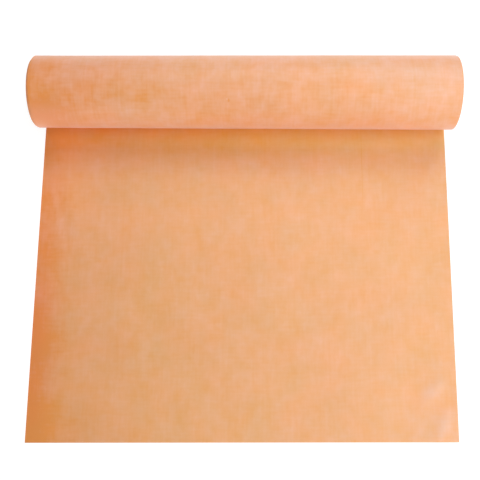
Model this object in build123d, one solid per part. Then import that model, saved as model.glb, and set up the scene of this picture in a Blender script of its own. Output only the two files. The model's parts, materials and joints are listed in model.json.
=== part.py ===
from build123d import *
import math
import os

# A roll of waterproof membrane lying on its side, its outer end unrolled flat on the floor.
# Millimetres. X runs along the roll, Z is up, and the loose end lies towards -Y.
# The origin is on the roll's axis, halfway along it.

# Driving sizes
roll_width = 1000.0        # the sheet's sold width, and so the roll's length
outer_radius = 87.0        # outside of the last turn
bore_radius = 38.0         # hole left by the bar the sheet was wound on
sheet_thickness = 0.6      # film with its two fleece faces
tail_length = 820.0        # flat part, from the line where the roll touches the floor
turn_pitch = 0.66          # radial step from one turn to the next, air between them included

# Levels and points that follow from the sizes
floor_z = -outer_radius
tail_top_z = floor_z + sheet_thickness

# The last turn meets the tail's upper face along a crease, this far in front of the contact line.
crease_y = -math.sqrt(outer_radius**2 - tail_top_z**2)
crease_angle = math.degrees(math.atan2(tail_top_z, crease_y)) % 360
contact_angle = -90.0

# Length of sheet in the roll: the end face's area divided by the radial step.
end_area = math.pi * (outer_radius**2 - bore_radius**2)
wound_length = end_area / turn_pitch
turn_count = (outer_radius - bore_radius) / turn_pitch
sheet_length = wound_length + tail_length


def build_membrane():
    """Roll and tail as one solid, because they are one sheet.

    The side view is drawn once: round the roll from the contact line, over the top and
    down to the crease, out along the tail's upper face, and back underneath. The bore is
    taken out of that outline, and the result is carried along the axis in both directions.
    """
    with BuildPart() as membrane:
        with BuildSketch(Plane.YZ):
            with BuildLine():
                CenterArc((0, 0), outer_radius, contact_angle, crease_angle - contact_angle)
                Polyline(
                    (crease_y, tail_top_z),
                    (-tail_length, tail_top_z),
                    (-tail_length, floor_z),
                    (0, floor_z),
                )
            make_face()
            Circle(bore_radius, mode=Mode.SUBTRACT)
        extrude(amount=roll_width / 2, both=True)
    return membrane.part


os.makedirs("parts", exist_ok=True)

membrane = build_membrane()
export_step(membrane, "parts/membrane.step")

box = membrane.bounding_box()
print(f"solids {len(membrane.solids())}, valid {membrane.is_valid}")
print(f"box {box.size.X:.1f} x {box.size.Y:.1f} x {box.size.Z:.1f} mm")
print(f"volume {membrane.volume / 1e6:.3f} litres")
print(f"turns {turn_count:.1f}, wound length {wound_length / 1000:.2f} m")
print(f"whole sheet {sheet_length / 1000:.2f} m")
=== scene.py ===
# %% [markdown]
# # A roll of waterproof membrane
#
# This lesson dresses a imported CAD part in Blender. The real object is one long sheet: a thin plastic film
# with fleece pressed onto both faces, so that tile adhesive can grip it. Most of the sheet is wound into a
# roll, and its outer end is pulled out flat on the floor.
#
# The CAD model gives the size and the place of everything. It is loaded first and never moved.

# %% Load the CAD model
import json
import math

import bpy
import numpy as np
from mathutils import Matrix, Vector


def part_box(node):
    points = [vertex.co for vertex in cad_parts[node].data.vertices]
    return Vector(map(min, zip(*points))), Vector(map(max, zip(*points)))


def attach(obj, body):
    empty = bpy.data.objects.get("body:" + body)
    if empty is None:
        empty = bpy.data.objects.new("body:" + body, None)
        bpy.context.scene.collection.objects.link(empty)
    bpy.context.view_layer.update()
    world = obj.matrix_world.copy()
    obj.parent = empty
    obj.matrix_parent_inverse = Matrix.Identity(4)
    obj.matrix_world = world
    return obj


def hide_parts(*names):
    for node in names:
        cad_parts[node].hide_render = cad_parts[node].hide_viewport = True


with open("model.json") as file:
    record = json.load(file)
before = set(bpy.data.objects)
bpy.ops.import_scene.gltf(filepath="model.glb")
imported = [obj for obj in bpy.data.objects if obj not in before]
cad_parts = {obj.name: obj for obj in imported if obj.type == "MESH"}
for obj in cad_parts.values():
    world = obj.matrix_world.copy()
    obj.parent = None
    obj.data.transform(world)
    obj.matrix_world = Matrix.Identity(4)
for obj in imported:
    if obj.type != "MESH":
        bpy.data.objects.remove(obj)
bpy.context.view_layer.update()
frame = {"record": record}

# %% [markdown]
# ## Sizes
#
# Everything is measured from the CAD node's box and from the bore that its record states. Five sizes are
# chosen here, because a plain CAD solid can't show them: the sheet's thickness, the step from one turn to
# the next, how much the roll's radius grows towards one end, where it is wound looser, how far out of
# square the front edge was cut with a knife, and how far the tail runs past the CAD model's edge.

# %% Sizes from the model, in metres
roll_low, roll_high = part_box("membrane")
bore = next(m for m in frame["record"]["mounts"] if m["name"] == "bore")

sheet_width = roll_high.x - roll_low.x
floor_level = roll_low.z
roll_radius = -floor_level
bore_radius = bore["dims"]["r_mm"] / 1000
tail_length = -roll_low.y

sheet_thickness = 0.0006
turn_pitch = 0.00066
end_swell = 0.0009
cut_slant = 0.0064
end_spare = 0.002

turns = (roll_radius - bore_radius - sheet_thickness) / turn_pitch
print(f"sheet {sheet_width:.2f} m wide, {turns:.1f} turns round a {bore_radius * 2000:.0f} mm bore")

# %% [markdown]
# ## The shape of the sheet
#
# A rolled sheet could be faked with a cylinder and a bump map of rings on its ends. Here the sheet is
# wound for real, because the ends of a roll are where it is seen to be a roll: every turn has its own
# edge, and no two lie quite flush.
#
# The sheet is a surface of two numbers. One runs across it, from 0 at the left edge to 1 at the right.
# The other runs along it. Below zero it counts turns back into the roll from the line where the roll
# touches the floor, and from zero to one it is the share of the flat tail that has been passed.

# %% Helpers for smooth steps and soft humps
def ease(t):
    """Goes from 0 to 1 as t does, level at both ends: three t squared less two t cubed."""
    t = np.clip(t, 0.0, 1.0)
    return t * t * (3.0 - 2.0 * t)


def hump(t):
    """A bell round zero: e to the minus t squared."""
    return np.exp(-t * t)


# %% How far each turn slips sideways
# Each wave: height in metres, turns to a wave, where it starts.
SLIP_WAVES = [
    (0.0021, 4.9, 0.0),
    (0.0012, 13.7, 0.8),
    (0.0016, 41.0, 2.1),
    (0.0003, 1.37, 0.4),
]
mean_slip = -0.0013
first_slipped_turn, slip_grows_over = 0.15, 0.9


def sideways_slip(turns_back):
    """Sideways place of a turn. It is a sum of sine waves of the turn number, most of them slow, so that
    neighbours slip together, and it fades to nothing at the last turn, which runs straight into the tail."""
    waves = sum(height * np.sin(2 * np.pi * turns_back / length + start)
                for height, length, start in SLIP_WAVES)
    return (waves + mean_slip) * ease((turns_back - first_slipped_turn) / slip_grows_over)


print(f"turns slip by up to {(sum(wave[0] for wave in SLIP_WAVES) - mean_slip) * 1000:.1f} mm")

# %% Slack in the last turn
# Each wave: share, waves across the sheet, waves in a turn, where it starts.
SLACK_WAVES = [
    (1.0, 1.3, 2.1, 0.6),
    (0.6, 2.7, -1.4, 2.0),
]
slack_height = 0.00016


def slack(turns_back, across):
    """How far the last turn stands off the one below. Two crossing waves are added and squared, so the
    result is never below zero, and a sine squared of the turn brings it to nothing where the turn starts
    and ends on the floor line."""
    waves = sum(share * np.sin(2 * np.pi * (over * across + around * turns_back) + start)
                for share, over, around, start in SLACK_WAVES)
    inside_last_turn = np.where(turns_back < 1.0, np.sin(np.pi * turns_back) ** 2, 0.0)
    return slack_height * waves ** 2 * inside_last_turn


print(f"slack of up to {slack_height * sum(wave[0] for wave in SLACK_WAVES) ** 2 * 1000:.1f} mm")

# %% Ripples in the flat tail
# Each soft ripple: middle (x, y), half length and half width in metres, turn in degrees, height.
RIPPLES = [
    (0.448, -0.702, 0.050, 0.014, 48.0, 0.0020),
    (0.468, -0.782, 0.048, 0.014, 60.0, 0.0020),
    (0.395, -0.560, 0.070, 0.022, 48.0, 0.0006),
    (-0.440, -0.200, 0.110, 0.016, -76.0, 0.0009),
    (-0.405, -0.330, 0.090, 0.018, -70.0, 0.0006),
    (-0.150, -0.640, 0.160, 0.050, 80.0, 0.0005),
    (0.180, -0.330, 0.180, 0.060, 96.0, 0.0004),
]
crown_height, crown_side_run = 0.0008, 0.030
crown_front_run, front_edge_lift_start = 0.045, -0.010
lift_start, lift_run = 0.03, 0.08


def tail_lift(x, y):
    """Height of the tail above the floor. It is a low crown that comes down to the floor at the edges,
    plus the ripples: each is a bell along its length times a bell across its width. All of it starts a
    little in front of the line where the roll touches the floor."""
    from_side = sheet_width / 2 - np.abs(x)
    from_front = y + tail_length
    lift = (crown_height * ease(from_side / crown_side_run)
            * ease((from_front - front_edge_lift_start) / crown_front_run))
    for mid_x, mid_y, half_length, half_width, turn, height in RIPPLES:
        c, s = math.cos(math.radians(turn)), math.sin(math.radians(turn))
        along = (x - mid_x) * c + (y - mid_y) * s
        over = (y - mid_y) * c - (x - mid_x) * s
        lift = lift + height * hump(along / half_length) * hump(over / half_width)
    return lift * ease((-y - lift_start) / lift_run)


# %% The middle of the sheet
def sheet_middle(row, across):
    """Middle surface of the sheet and the direction its outer face looks.

    In the roll the point goes round the axis, and its radius shrinks by the same step each turn, which
    makes an Archimedean spiral. On the tail it goes straight forward along the floor. The roll's radius
    grows evenly from the left end to the right, and its axis rises with it, so it stays on the floor.
    """
    row, across = np.broadcast_arrays(row[:, None], across[None, :])
    turns_back, reach = np.maximum(-row, 0.0), np.maximum(row, 0.0)
    side = 2.0 * across - 1.0

    outside = roll_radius + end_swell * side
    last_middle = outside - sheet_thickness / 2
    first_middle = bore_radius + sheet_thickness / 2
    radius = last_middle - (last_middle - first_middle) * turns_back / turns
    radius = radius + slack(turns_back, across)

    angle = 2 * np.pi * turns_back
    length = tail_length + end_spare - cut_slant * side
    x = side * sheet_width / 2 + sideways_slip(turns_back)
    y = radius * np.sin(angle) - reach * length
    z = floor_level + outside - radius * np.cos(angle) + np.where(row > 0, tail_lift(x, y), 0.0)
    facing = np.stack([np.zeros_like(angle), np.sin(angle), -np.cos(angle)], axis=-1)
    return np.stack([x, y, z], axis=-1), facing


# %% [markdown]
# ## From the surface to a closed mesh
#
# A sheet needs both its faces and its four cut edges. The hidden turns need points only at their two
# edges, because nothing shows between them. The last turn and the tail are seen from all sides, so they
# get about a hundred points across. One wide face, under the last turn, joins the two.

# %% Rows and columns
steps_per_turn = 112
fine_turns = 1.25
fine_columns = 96
tail_rows = 92

coarse_rows = -np.linspace(turns, fine_turns, round((turns - fine_turns) * steps_per_turn), endpoint=False)
fine_rows = np.concatenate([
    -np.linspace(fine_turns, 0.0, round(fine_turns * steps_per_turn), endpoint=False),
    np.linspace(0.0, 1.0, tail_rows + 1),
])
print(len(coarse_rows), "rows of hidden turns,", len(fine_rows), "rows of last turn and tail")


# %% Both faces of a patch
def both_faces(row, columns):
    """Points half a thickness out from the middle surface and half a thickness in, as two grids."""
    across = np.linspace(0.0, 1.0, columns)
    middle, facing = sheet_middle(row, across)
    half = facing * sheet_thickness / 2
    return middle + half, middle - half


def quads(a, b, c, d):
    """Four equal grids of point numbers become rows of four."""
    return np.stack([a, b, c, d], axis=-1).reshape(-1, 4)


def wound_sheet(coarse, fine):
    """Joins a patch two points wide to a patch of many points, and closes it all round.

    Each patch gives quads on its outer face, the same turned over on its inner face, and a strip down
    each side. The first and last rows get a cap. Returns points, faces and the kind of each face:
    0 outer face, 1 inner face, 2 cut edge.
    """
    grids, points, start = [], [], 0
    for row, columns in ((coarse, 2), (fine, fine_columns + 1)):
        pair = []
        for face in both_faces(row, columns):
            pair.append(start + np.arange(len(row) * columns).reshape(len(row), columns))
            points.append(face.reshape(-1, 3))
            start += len(row) * columns
        grids.append(pair)

    faces, kinds = [], []

    def add(rows_of_points, kind):
        faces.extend(rows_of_points.tolist())
        kinds.extend([kind] * len(rows_of_points))

    for out, inn in grids:
        add(quads(out[:-1, :-1], out[:-1, 1:], out[1:, 1:], out[1:, :-1]), 0)
        add(quads(inn[:-1, :-1], inn[1:, :-1], inn[1:, 1:], inn[:-1, 1:]), 1)
        add(quads(out[:-1, 0], out[1:, 0], inn[1:, 0], inn[:-1, 0]), 2)
        add(quads(out[:-1, -1], inn[:-1, -1], inn[1:, -1], out[1:, -1]), 2)

    (c_out, c_inn), (f_out, f_inn) = grids
    add(quads(c_out[0, :-1], c_inn[0, :-1], c_inn[0, 1:], c_out[0, 1:]), 2)
    add(quads(f_out[-1, :-1], f_out[-1, 1:], f_inn[-1, 1:], f_inn[-1, :-1]), 2)
    add(np.array([[c_out[-1, 0], c_out[-1, 1], *f_out[0, ::-1]]]), 0)
    add(np.array([[c_inn[-1, 0], *f_inn[0], c_inn[-1, 1]]]), 1)
    add(quads(c_out[-1:, 0], f_out[:1, 0], f_inn[:1, 0], c_inn[-1:, 0]), 2)
    add(quads(c_out[-1:, 1], c_inn[-1:, 1], f_inn[:1, -1], f_out[:1, -1]), 2)
    return np.concatenate(points), faces, np.array(kinds)


points, faces, kinds = wound_sheet(coarse_rows, fine_rows)
print(len(points), "points,", len(faces), "faces")

# %% [markdown]
# ## Places on the cloth
#
# The fleece pattern has to follow the sheet round the roll and out along the floor without a break, so it
# can't be read from places in space. A UV map in metres does it: U is the distance across the sheet and V
# the distance along it from the floor line. The inner face is a different fleece, so its V is moved well
# away from the outer one's.

# %% Distances along the sheet
def distance_along(row):
    """Length of sheet from the floor line to each row: the sum of the straight steps between rows along
    the middle, taken from the floor line's own row."""
    middle, _ = sheet_middle(row, np.array([0.5]))
    step = np.linalg.norm(np.diff(middle[:, 0], axis=0), axis=-1)
    so_far = np.concatenate([[0.0], np.cumsum(step)])
    return so_far - np.interp(0.0, row, so_far)


all_rows = np.concatenate([coarse_rows, fine_rows])
along = distance_along(all_rows)

# %% The mesh object
mesh = bpy.data.meshes.new("membrane_sheet")
mesh.from_pydata(points.tolist(), [], faces)
mesh.update()

n_coarse, n_fine = len(coarse_rows), len(fine_rows)
along_coarse = np.repeat(along[:n_coarse], 2)
along_fine = np.repeat(along[n_coarse:], fine_columns + 1)
across_coarse = np.tile([0.0, 1.0], n_coarse)
across_fine = np.tile(np.linspace(0.0, 1.0, fine_columns + 1), n_fine)
point_v = np.concatenate([along_coarse, along_coarse, along_fine, along_fine])
point_u = np.concatenate([across_coarse, across_coarse, across_fine, across_fine]) * sheet_width

corner_point = np.empty(len(mesh.loops), dtype=np.int32)
mesh.loops.foreach_get("vertex_index", corner_point)
corners_in_face = np.empty(len(mesh.polygons), dtype=np.int32)
mesh.polygons.foreach_get("loop_total", corners_in_face)
corner_kind = np.repeat(kinds, corners_in_face)

inner_face_shift = 3.0
uv = np.stack([point_u[corner_point], point_v[corner_point]], axis=-1)
uv[corner_kind == 1, 1] += inner_face_shift
mesh.uv_layers.new(name="Cloth").uv.foreach_set("vector", uv.astype(np.float32).ravel())

cut_edge = mesh.attributes.new("cut_edge", "FLOAT", "FACE")
cut_edge.data.foreach_set("value", (kinds == 2).astype(np.float32))

mesh.polygons.foreach_set("use_smooth", np.ones(len(mesh.polygons), dtype=bool))
crease_angle = math.radians(50)
mesh.set_sharp_from_angle(angle=crease_angle)

sheet = bpy.data.objects.new("membrane_sheet", mesh)
bpy.context.scene.collection.objects.link(sheet)

# %% Hand the sheet to the frame
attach(sheet, "root")
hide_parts("membrane")

# %% [markdown]
# ## Fleece
#
# The fleece is a thin felt of plastic fibres laid at random, a little more of them along the sheet than
# across it. Where it is thick it looks pale and slightly pink, and where it is thin the deep orange film
# shows through. A flat colour would look like paint, so the look is built up from what a hand lens would
# show: a group of nodes draws fibres, a second one turns fibres and clouds of thick and thin fleece into a
# colour, a roughness and a height, and the material uses them.
#
# The helpers come first. Most of them add one node, and join whatever they are given to it.

# %% Helpers that add a node or a group
def node(tree, kind, **settings):
    """Adds a node. A setting names a property of the node, or one of its inputs by its label."""
    made = tree.nodes.new(kind)
    for name, value in settings.items():
        if hasattr(made, name):
            setattr(made, name, value)
        else:
            made.inputs[name.replace("_", " ")].default_value = value
    return made


def new_group(name, inputs, outputs):
    """An empty node group with named sockets, and its input and output nodes."""
    tree = bpy.data.node_groups.new(name, "ShaderNodeTree")
    for label, kind, value in inputs:
        socket = tree.interface.new_socket(label, in_out="INPUT", socket_type=kind)
        if value is not None:
            socket.default_value = value
    for label, kind in outputs:
        tree.interface.new_socket(label, in_out="OUTPUT", socket_type=kind)
    return tree, tree.nodes.new("NodeGroupInput"), tree.nodes.new("NodeGroupOutput")


# %% Helpers that reckon with numbers
def arithmetic(tree, operation, a, b=None, c=None, clamp=False):
    """A Math node. Each of a, b and c is a number or a socket to join."""
    made = node(tree, "ShaderNodeMath", operation=operation, use_clamp=clamp)
    for slot_number, value in enumerate((a, b, c)):
        if value is None:
            continue
        if isinstance(value, (int, float)):
            made.inputs[slot_number].default_value = value
        else:
            tree.links.new(value, made.inputs[slot_number])
    return made.outputs[0]


def total(tree, values):
    """The sum of a list of sockets."""
    result = values[0]
    for value in values[1:]:
        result = arithmetic(tree, "ADD", result, value)
    return result


def ramp(tree, value, start, end, low, high):
    """A smooth step from low to high as the value goes from start to end."""
    made = node(tree, "ShaderNodeMapRange", interpolation_type="SMOOTHSTEP")
    tree.links.new(value, made.inputs["Value"])
    for label, number in (("From Min", start), ("From Max", end), ("To Min", low), ("To Max", high)):
        made.inputs[label].default_value = number
    return made.outputs["Result"]


def blend_colours(tree, share, a, b):
    """A colour Mix node. a and b are colours or sockets, and share is a socket."""
    made = node(tree, "ShaderNodeMix", data_type="RGBA", clamp_factor=True)
    tree.links.new(share, made.inputs["Factor"])
    for label, value in (("A", a), ("B", b)):
        socket = next(s for s in made.inputs if s.name == label and s.type == "RGBA")
        if isinstance(value, tuple):
            socket.default_value = value
        else:
            tree.links.new(value, socket)
    return next(s for s in made.outputs if s.type == "RGBA")


# %% Helpers that make a pattern
def stretched_noise(tree, place, scale, stretch, turn, detail, shift):
    """Noise read from places that are turned and squeezed first, so that its blobs become streaks. The
    scale is in blobs to a metre across the sheet, and times the stretch it is the same along the sheet.
    The shift picks another part of the same noise."""
    mapping = node(tree, "ShaderNodeMapping", vector_type="POINT")
    mapping.inputs["Location"].default_value = (shift, shift * 0.7, 0.0)
    mapping.inputs["Rotation"].default_value = (0.0, 0.0, math.radians(turn))
    mapping.inputs["Scale"].default_value = (scale, scale * stretch, scale)
    tree.links.new(place, mapping.inputs["Vector"])
    noise = node(tree, "ShaderNodeTexNoise", noise_dimensions="2D", Scale=1.0, Detail=detail, Roughness=0.5)
    tree.links.new(mapping.outputs[0], noise.inputs["Vector"])
    return noise.outputs["Fac"]


def swing(tree, place, weight, *pattern):
    """A stretched noise less its middle value, times a weight, so that it takes as much as it adds."""
    noise = stretched_noise(tree, place, *pattern)
    return arithmetic(tree, "MULTIPLY", arithmetic(tree, "SUBTRACT", noise, 0.5), weight)


def on_map(v):
    """Where a distance along the sheet lies on the cloth map. The roll shows the sheet's outer face, but
    the tail, which starts at zero, shows the inner one, and that is moved away on the map."""
    return v + inner_face_shift if v > 0 else v


def soft_place(tree, place, u, v, half_u, half_v, turn, value):
    """A soft round place on the cloth, given by its middle and its half sizes in metres. It has its full
    value in the middle, and fades with the distance, measured in half sizes, to nothing at one."""
    mapping = node(tree, "ShaderNodeMapping", vector_type="TEXTURE")
    mapping.inputs["Location"].default_value = (u, on_map(v), 0.0)
    mapping.inputs["Rotation"].default_value = (0.0, 0.0, math.radians(turn))
    mapping.inputs["Scale"].default_value = (half_u, half_v, 1.0)
    tree.links.new(place, mapping.inputs["Vector"])
    distance = node(tree, "ShaderNodeVectorMath", operation="LENGTH")
    tree.links.new(mapping.outputs[0], distance.inputs[0])
    return ramp(tree, distance.outputs["Value"], 0.0, 1.0, value, 0.0)


def soft_places(tree, place, table):
    """One soft place for each row of a table."""
    return [soft_place(tree, place, *row) for row in table]


# %% [markdown]
# ## Single fibres
#
# A fibre is thinner than a hair and a few millimetres long. Modelling each would take millions of curves,
# so they are drawn. Noise that is squeezed one way has long thin blobs, and the line where it passes
# through its middle value is as thin as a fibre. Five such layers are laid over each other in different
# directions, as the fibres are.

# %% Fibres
# Each layer: turn in degrees, blobs to a metre, stretch along the fibre.
FIBRE_LAYERS = [
    (8, 620, 0.10),
    (52, 520, 0.13),
    (-47, 560, 0.12),
    (88, 480, 0.16),
    (24, 760, 0.10),
]
fibre_sharpness = 7.0
layer_shift = 3.1


def fibre_group():
    """Each layer is one minus the noise's distance from its middle value times a sharpness, and never
    below zero, which leaves a bright line wherever the noise crosses its middle. The largest of the
    layers wins, as the top fibre does."""
    tree, inside, outside = new_group(
        "Fibres", [("Place", "NodeSocketVector", None)], [("Fibre", "NodeSocketFloat")]
    )
    top = None
    for number, (turn, scale, stretch) in enumerate(FIBRE_LAYERS):
        shift = layer_shift * number
        noise = stretched_noise(tree, inside.outputs["Place"], scale, stretch, turn, 1.0, shift)
        from_middle = arithmetic(tree, "ABSOLUTE", arithmetic(tree, "SUBTRACT", noise, 0.5))
        fall = arithmetic(tree, "MULTIPLY", from_middle, fibre_sharpness)
        ridge = arithmetic(tree, "SUBTRACT", 1.0, fall, clamp=True)
        top = ridge if top is None else arithmetic(tree, "MAXIMUM", top, ridge)
    tree.links.new(top, outside.inputs["Fibre"])
    return tree


fibres = fibre_group()
print(len(FIBRE_LAYERS), "layers of fibres,", len(fibres.nodes), "nodes")

# %% [markdown]
# ## Thick and thin fleece
#
# The felting machine never lays fleece evenly. There are clouds a few centimetres wide, clumps a centimetre
# or two wide, streaks and lines along the sheet from its travel, and bands across it. One noise at one scale
# looks like a stain, so five are added, each with its own size, direction and weight. Then come the places
# that only this sheet has: a thin strip down its left edge, a few larger thin and thick places, pale places
# on wrinkles and a ripple in the tail, one faint line and one nick. Some of these are painted light. The
# pale places on the wrinkles and the ripple, and the thick places at the roll's right end, are painted
# highlight. The thin places close to the floor line are painted shade under the roll.

# %% How the fleece varies
# Each layer: weight, blobs to a metre across, stretch, turn in degrees, detail, shift.
MOTTLING = [
    (0.52, 17.0, 0.8, 0.0, 2.0, 5.0),
    (0.60, 44.0, 0.8, 10.0, 2.0, 1.0),
    (0.24, 190.0, 0.12, 2.0, 1.0, 9.0),
    (0.28, 24.0, 7.0, 3.0, 1.0, 17.0),
    (0.16, 130.0, 0.012, 0.4, 1.0, 23.0),
]

# Each uneven place: middle (u, v), half size (u, v), turn in degrees, change, which is below zero where
# the fleece is thinner. U is measured from the left edge and V from the floor line, in metres, and V is
# below zero on the roll.
UNEVEN_PLACES = [
    # on the roll; the thick places at the right end, with u of 0.86 and more, are painted highlight: they
    # pale the top of the roll's right end, where the lamps on the right reflect
    (0.02, -0.38, 0.14, 0.08, 0.0, -0.35),
    (0.99, -0.22, 0.30, 0.07, 0.0, 0.34),
    (0.86, -0.26, 0.20, 0.05, 0.0, 0.34),
    (0.99, -0.38, 0.06, 0.05, 0.0, -0.20),
    (0.90, -0.335, 0.14, 0.05, 0.0, 0.22),
    (0.98, -0.285, 0.10, 0.07, 0.0, 0.30),
    (0.08, -0.350, 0.16, 0.05, 0.0, -0.26),
    # on the tail; the first two, close to the floor line, are painted shade: they deepen the orange in the
    # roll's shade on the tail
    (0.12, 0.06, 0.16, 0.10, 0.0, -0.30),
    (0.42, 0.07, 0.50, 0.11, 0.0, -0.28),
    (0.03, 0.82, 0.18, 0.18, 0.0, -0.35),
    (0.97, 0.78, 0.12, 0.09, 0.0, 0.15),
    (0.00, 0.60, 0.09, 0.16, 0.0, -0.28),
    (0.02, 0.19, 0.05, 0.06, 0.0, 0.26),
    (0.844, 0.530, 0.034, 0.024, 0.0, 0.20),
    (0.824, 0.376, 0.012, 0.009, 0.0, -0.32),
    (0.149, 0.398, 0.013, 0.010, 0.0, -0.30),
    # wrinkles and a ripple in the tail, made pale: painted highlight where they catch the light
    (0.945, 0.703, 0.058, 0.025, -50.0, 0.60),
    (0.968, 0.784, 0.054, 0.023, -62.0, 0.60),
    (0.045, 0.280, 0.150, 0.014, 76.0, 0.25),
    # a faint line along the tail, and a nick in the roll with its pale rim
    (0.793, 0.160, 0.002, 0.160, 0.0, -0.45),
    (0.465, -0.325, 0.0035, 0.0060, 0.0, -0.90),
    (0.461, -0.322, 0.0030, 0.0035, 0.0, 0.60),
]

# The thin strip down the left edge, and the noise that bends its border.
strip_width, strip_change = 0.105, -0.42
STRIP_WOBBLE = (0.090, 9.0, 0.8, 0.0, 2.0, 12.0)
print(len(MOTTLING), "layers of mottling and", len(UNEVEN_PLACES), "uneven places")

# %% [markdown]
# ## The dye, and painted light under the roll
#
# The dye isn't even either. It is redder down the left edge. Close to the floor line, in the roll's shade on
# the tail, it is made a deeper and yellower orange. That deeper orange is painted light: the warm light that
# fills that shade is put into the colour, since the sheet here lets no light through. A slow drift of red
# and green is added for both. Blue is left alone, because it sets how pale the fleece looks.

# %% How the dye drifts, and the painted light under the roll
# Places with more or less red or green: middle (u, v), half size (u, v), turn in degrees, change.
# Redder along the tail's left edge, strongest at the floor line, where it is painted light in the roll's
# shade.
RED_LEFT_EDGE_AND_PAINTED_LIGHT = (0.00, 0.12, 0.22, 0.36, 0.0, 0.13)
# Painted light: a deeper orange in the roll's shade on the tail, just in front of the floor line.
RED_PAINTED_LIGHT_UNDER_ROLL = (0.50, 0.05, 1.60, 0.06, 0.0, 0.17)
RED_PLACES = [
    (0.00, -0.25, 0.30, 0.10, 0.0, 0.06),
    (0.00, 0.48, 0.10, 0.50, 0.0, 0.05),
]
GREEN_PLACES = [
    # Painted light: a yellower orange in the roll's shade on the tail, just in front of the floor line.
    (0.72, 0.06, 0.90, 0.095, 0.0, 0.115),
    (0.00, 0.56, 0.10, 0.50, 0.0, -0.055),
    (0.02, -0.36, 0.14, 0.06, 0.0, -0.03),
]

# Slow noises, given as the mottling is.
RED_NOISE = (0.10, 12.0, 1.0, 0.0, 2.0, 47.0)
GREEN_NOISE = (0.03, 5.0, 1.0, 0.0, 1.0, 31.0)

# Steps of green along and across the sheet: where it starts and ends, and the change at each.
GREEN_ALONG = (-0.30, 0.02, -0.012, 0.014)
GREEN_ACROSS = (0.00, 0.35, -0.016, 0.0)


def dye_and_painted_light(tree, place, uv):
    """An amount of red and an amount of green to add. Less green makes the orange redder, and more makes it
    yellower. Each is a sum of soft places and a slow noise. Of the red edge and the painted light under the
    roll only the stronger counts, and green also changes in two steps, one along the sheet and one across
    it. The red and green close to the floor line are painted light in the roll's shade."""
    stronger_red = arithmetic(tree, "MAXIMUM", *soft_places(tree, place, (RED_LEFT_EDGE_AND_PAINTED_LIGHT, RED_PAINTED_LIGHT_UNDER_ROLL)))
    red = total(tree, [stronger_red, *soft_places(tree, place, RED_PLACES), swing(tree, place, *RED_NOISE)])
    green = total(tree, [
        ramp(tree, uv.outputs["Y"], *GREEN_ALONG),
        ramp(tree, uv.outputs["X"], *GREEN_ACROSS),
        *soft_places(tree, place, GREEN_PLACES),
        swing(tree, place, *GREEN_NOISE),
    ])
    drift = node(tree, "ShaderNodeCombineXYZ")
    tree.links.new(red, drift.inputs["X"])
    tree.links.new(green, drift.inputs["Y"])
    return drift.outputs[0]


print(len(RED_PLACES) + 2, "places drift in red and", len(GREEN_PLACES), "in green")

# %% [markdown]
# ## Fleece over film
#
# One number, the cover, says how thick the fleece is at a point. Colour goes from film to fleece with it,
# thick fleece is a little rougher than bare film, and the surface stands up where the fleece is thick and
# where a fibre lies. Working all three out from the same number keeps them in step, as they are on the
# real sheet.

# %% The fleece group
FILM_ORANGE = (0.800, 0.297, 0.033, 1.0)
FLEECE_PALE = (0.842, 0.453, 0.283, 1.0)
fibre_cover = 0.16
cover_to_share = 0.75
film_roughness, fleece_extra_roughness = 0.45, 0.13
fibre_height, cover_height = 0.55, 0.9


def fleece_group(fibres):
    """Cover is a starting value, plus the mottling times the cloudiness, plus the thin strip and the
    uneven places. The share of fleece in the colour is the cover with the fibres on it, times a constant,
    kept between 0 and 1."""
    tree, inside, outside = new_group(
        "Fleece",
        [
            ("Place", "NodeSocketVector", None),
            ("Film Colour", "NodeSocketColor", FILM_ORANGE),
            ("Fleece Colour", "NodeSocketColor", FLEECE_PALE),
            ("Cover", "NodeSocketFloat", 0.5),
            ("Cloudiness", "NodeSocketFloat", 1.0),
        ],
        [("Color", "NodeSocketColor"), ("Roughness", "NodeSocketFloat"), ("Height", "NodeSocketFloat")],
    )
    place = inside.outputs["Place"]
    fibre = node(tree, "ShaderNodeGroup", node_tree=fibres)
    tree.links.new(place, fibre.inputs["Place"])
    uv = node(tree, "ShaderNodeSeparateXYZ")
    tree.links.new(place, uv.inputs[0])

    mottling = total(tree, [swing(tree, place, *layer) for layer in MOTTLING])
    mottling = arithmetic(tree, "MULTIPLY", mottling, inside.outputs["Cloudiness"])
    from_left = total(tree, [uv.outputs["X"], swing(tree, place, *STRIP_WOBBLE)])
    thin_strip = ramp(tree, from_left, 0.0, strip_width, strip_change, 0.0)
    cover = total(tree, [
        inside.outputs["Cover"], mottling, thin_strip, *soft_places(tree, place, UNEVEN_PLACES),
    ])

    with_fibres = arithmetic(tree, "MULTIPLY_ADD", fibre.outputs["Fibre"], fibre_cover, cover)
    share = arithmetic(tree, "MULTIPLY", with_fibres, cover_to_share, clamp=True)
    colour = blend_colours(tree, share, inside.outputs["Film Colour"], inside.outputs["Fleece Colour"])
    dyed = node(tree, "ShaderNodeVectorMath", operation="ADD")
    tree.links.new(colour, dyed.inputs[0])
    tree.links.new(dye_and_painted_light(tree, place, uv), dyed.inputs[1])
    rough = arithmetic(tree, "MULTIPLY_ADD", share, fleece_extra_roughness, film_roughness, clamp=True)
    height = arithmetic(tree, "MULTIPLY_ADD", fibre.outputs["Fibre"], fibre_height,
                        arithmetic(tree, "MULTIPLY", cover, cover_height))

    tree.links.new(dyed.outputs[0], outside.inputs["Color"])
    tree.links.new(rough, outside.inputs["Roughness"])
    tree.links.new(height, outside.inputs["Height"])
    return tree


fleece = fleece_group(fibres)
print("nodes in the fleece group:", len(fleece.nodes))

# %% [markdown]
# ## The membrane's material
#
# Fleece scatters light back at a shallow angle, as velvet does, and that is what sheen is for. The plastic
# gives it a soft gloss as well. On a cut edge the film shows between its two fleeces, so the colour goes
# about halfway to the film's there. The mottling is stronger on the roll, which has been rubbed and
# pressed, than on the tail.

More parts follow.
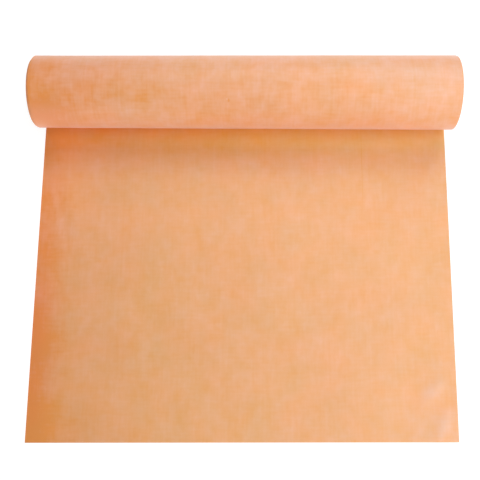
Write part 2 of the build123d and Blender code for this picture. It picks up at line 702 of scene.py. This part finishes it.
# %% Material
# Cloudiness along the sheet: where it starts and stops changing, its value on the roll and on the tail.
CLOUDINESS_ALONG = (-0.10, 0.0, 1.50, 0.98)
mean_cover = 0.39
film_on_cut_edges = 0.55
bump_strength, bump_distance = 0.55, 0.00035
sheen_weight, sheen_roughness = 0.47, 0.6
SHEEN_TINT = (0.95, 0.80, 0.86, 1.0)


def membrane_material(fleece):
    """Fleece on the faces. On a cut edge the colour is moved towards the film's by a fixed share."""
    material = bpy.data.materials.new("fleece_membrane")
    material.use_nodes = True
    tree = material.node_tree
    tree.nodes.clear()
    cloth = node(tree, "ShaderNodeUVMap", uv_map="Cloth")
    look = node(tree, "ShaderNodeGroup", node_tree=fleece)
    look.inputs["Cover"].default_value = mean_cover
    tree.links.new(cloth.outputs["UV"], look.inputs["Place"])
    uv = node(tree, "ShaderNodeSeparateXYZ")
    tree.links.new(cloth.outputs["UV"], uv.inputs[0])
    cloudiness = ramp(tree, uv.outputs["Y"], *CLOUDINESS_ALONG)
    tree.links.new(cloudiness, look.inputs["Cloudiness"])

    cut = node(tree, "ShaderNodeAttribute", attribute_type="GEOMETRY", attribute_name="cut_edge")
    film_share = arithmetic(tree, "MULTIPLY", cut.outputs["Fac"], film_on_cut_edges)
    colour = blend_colours(tree, film_share, look.outputs["Color"], FILM_ORANGE)
    bump = node(tree, "ShaderNodeBump", Strength=bump_strength, Distance=bump_distance)
    tree.links.new(look.outputs["Height"], bump.inputs["Height"])

    surface = node(tree, "ShaderNodeBsdfPrincipled")
    surface.inputs["Specular IOR Level"].default_value = 1.0
    surface.inputs["Sheen Weight"].default_value = sheen_weight
    surface.inputs["Sheen Roughness"].default_value = sheen_roughness
    surface.inputs["Sheen Tint"].default_value = SHEEN_TINT
    tree.links.new(colour, surface.inputs["Base Color"])
    tree.links.new(look.outputs["Roughness"], surface.inputs["Roughness"])
    tree.links.new(bump.outputs["Normal"], surface.inputs["Normal"])
    output = node(tree, "ShaderNodeOutputMaterial")
    tree.links.new(surface.outputs["BSDF"], output.inputs["Surface"])
    return material


mesh.materials.append(membrane_material(fleece))
print("material:", mesh.materials[0].name)

# %% [markdown]
# ## Floor
#
# A studio's white table is often lit from below, so that it comes out pure white and carries hardly any
# shadow. A matt surface that glows by itself does the same.

# %% White floor
floor_reach = 12.0
floor_white = (0.28, 0.28, 0.28, 1.0)
floor_glow = 0.86

floor_mesh = bpy.data.meshes.new("floor")
floor_mesh.from_pydata(
    [(-floor_reach, -floor_reach, floor_level), (floor_reach, -floor_reach, floor_level),
     (floor_reach, floor_reach, floor_level), (-floor_reach, floor_reach, floor_level)],
    [], [(0, 1, 2, 3)],
)
floor = bpy.data.objects.new("floor", floor_mesh)
bpy.context.scene.collection.objects.link(floor)

white = bpy.data.materials.new("white_floor")
white.use_nodes = True
paint = white.node_tree.nodes["Principled BSDF"]
paint.inputs["Base Color"].default_value = floor_white
paint.inputs["Roughness"].default_value = 0.9
paint.inputs["Specular IOR Level"].default_value = 0.0
paint.inputs["Emission Color"].default_value = (1.0, 1.0, 1.0, 1.0)
paint.inputs["Emission Strength"].default_value = floor_glow
floor_mesh.materials.append(white)
print(f"floor {2 * floor_reach:.0f} m square")

# %% [markdown]
# ## Light
#
# One big lamp gives a hard edge to every shadow, and a bright sky alone makes a roll look flat. A studio
# uses many soft boxes instead. Thirteen are set round the roll at the same distance, each given by its
# bearing, its height angle and its power. More of the power comes from the right, and the four lamps
# behind the roll leave the soft shade in front of it. The white walls of the studio are only a backdrop:
# the camera sees them, but they give no light of their own.

# %% Soft boxes
# Bearings go round from the front: 0 is in front of the tail, 90 is right and 180 is behind the roll.
SOFT_BOXES = [
    # name, bearing, height angle, power in watts
    ("low_front", 0, 10, 7),
    ("low_front_right", 45, 10, 20),
    ("low_right", 90, 10, 20),
    ("low_behind", 180, 10, 9),
    ("low_left", 270, 10, 12),
    ("low_front_left", 315, 10, 17),
    ("middle_front", 30, 30, 16),
    ("middle_behind", 180, 40, 8),
    ("middle_behind_right", 150, 40, 18),
    ("high_front_right", 45, 58, 18),
    ("high_right", 90, 58, 12),
    ("high_behind", 180, 58, 20),
    ("overhead_right", 90, 75, 12),
]
box_distance = 3.0
box_side = 1.2
aim = np.array([0.0, -0.3, floor_level])


def soft_box(name, bearing, height_angle, power):
    """A square area lamp at the end of an arm of fixed length from the aim, turned to look back at it.
    The arm's end is the aim plus the arm times the cosines and sines of the two angles."""
    b, h = math.radians(bearing), math.radians(height_angle)
    back = np.array([math.cos(h) * math.sin(b), -math.cos(h) * math.cos(b), math.sin(h)])
    right = np.cross([0.0, 0.0, 1.0], back)
    right /= np.linalg.norm(right)
    up = np.cross(back, right)
    place = aim + back * box_distance

    lamp = bpy.data.lights.new(name, "AREA")
    lamp.shape = "SQUARE"
    lamp.size = box_side
    lamp.energy = power
    holder = bpy.data.objects.new(name, lamp)
    bpy.context.scene.collection.objects.link(holder)
    holder.matrix_world = Matrix([[right[i], up[i], back[i], place[i]] for i in range(3)] + [[0, 0, 0, 1]])


for name, bearing, height_angle, power in SOFT_BOXES:
    soft_box(name, bearing, height_angle, power)
print(len(SOFT_BOXES), "soft boxes,", round(sum(power for *_, power in SOFT_BOXES)), "W")

# %% Studio walls
wall_white = (0.87, 0.87, 0.87, 1.0)

walls = bpy.data.worlds.new("studio_walls")
walls.use_nodes = True
backdrop = walls.node_tree.nodes["Background"]
backdrop.inputs["Color"].default_value = wall_white
seen_directly = walls.node_tree.nodes.new("ShaderNodeLightPath")
walls.node_tree.links.new(seen_directly.outputs["Is Camera Ray"], backdrop.inputs["Strength"])
bpy.context.scene.world = walls
bpy.context.scene.view_settings.view_transform = "Standard"

# %% [markdown]
# ## Camera
#
# The camera stands over the tail's far half at head height and looks almost straight down, so the roll
# is seen from above and the tail runs down towards the viewer. It is placed from its height over the
# floor and from the angles that a tripod head has: tilt, turn and level.

# %% Place the camera
camera_right, camera_forward, camera_height = 0.0267, 0.7054, 1.7278
tilt, turn, level = (math.radians(a) for a in (78.243, -1.0965, 0.391))
camera_place = np.array([camera_right, -camera_forward, floor_level + camera_height])

ahead = np.array([0.0, math.cos(tilt), -math.sin(tilt)])
upward = np.array([0.0, math.sin(tilt), math.cos(tilt)])
rightward = np.array([1.0, 0.0, 0.0])
ahead, rightward = (ahead * math.cos(turn) + rightward * math.sin(turn),
                    rightward * math.cos(turn) - ahead * math.sin(turn))
rightward, upward = (rightward * math.cos(level) + upward * math.sin(level),
                     upward * math.cos(level) - rightward * math.sin(level))

lens = bpy.data.cameras.new("camera")
lens.sensor_width = 36.0
lens.lens = 54.36
lens.clip_start, lens.clip_end = 0.05, 60.0
camera = bpy.data.objects.new("camera", lens)
bpy.context.scene.collection.objects.link(camera)
camera.matrix_world = Matrix(
    [[rightward[i], upward[i], -ahead[i], camera_place[i]] for i in range(3)] + [[0, 0, 0, 1]]
)
bpy.context.scene.camera = camera
print(f"camera {camera_height:.2f} m over the floor, {lens.lens:.1f} mm lens")
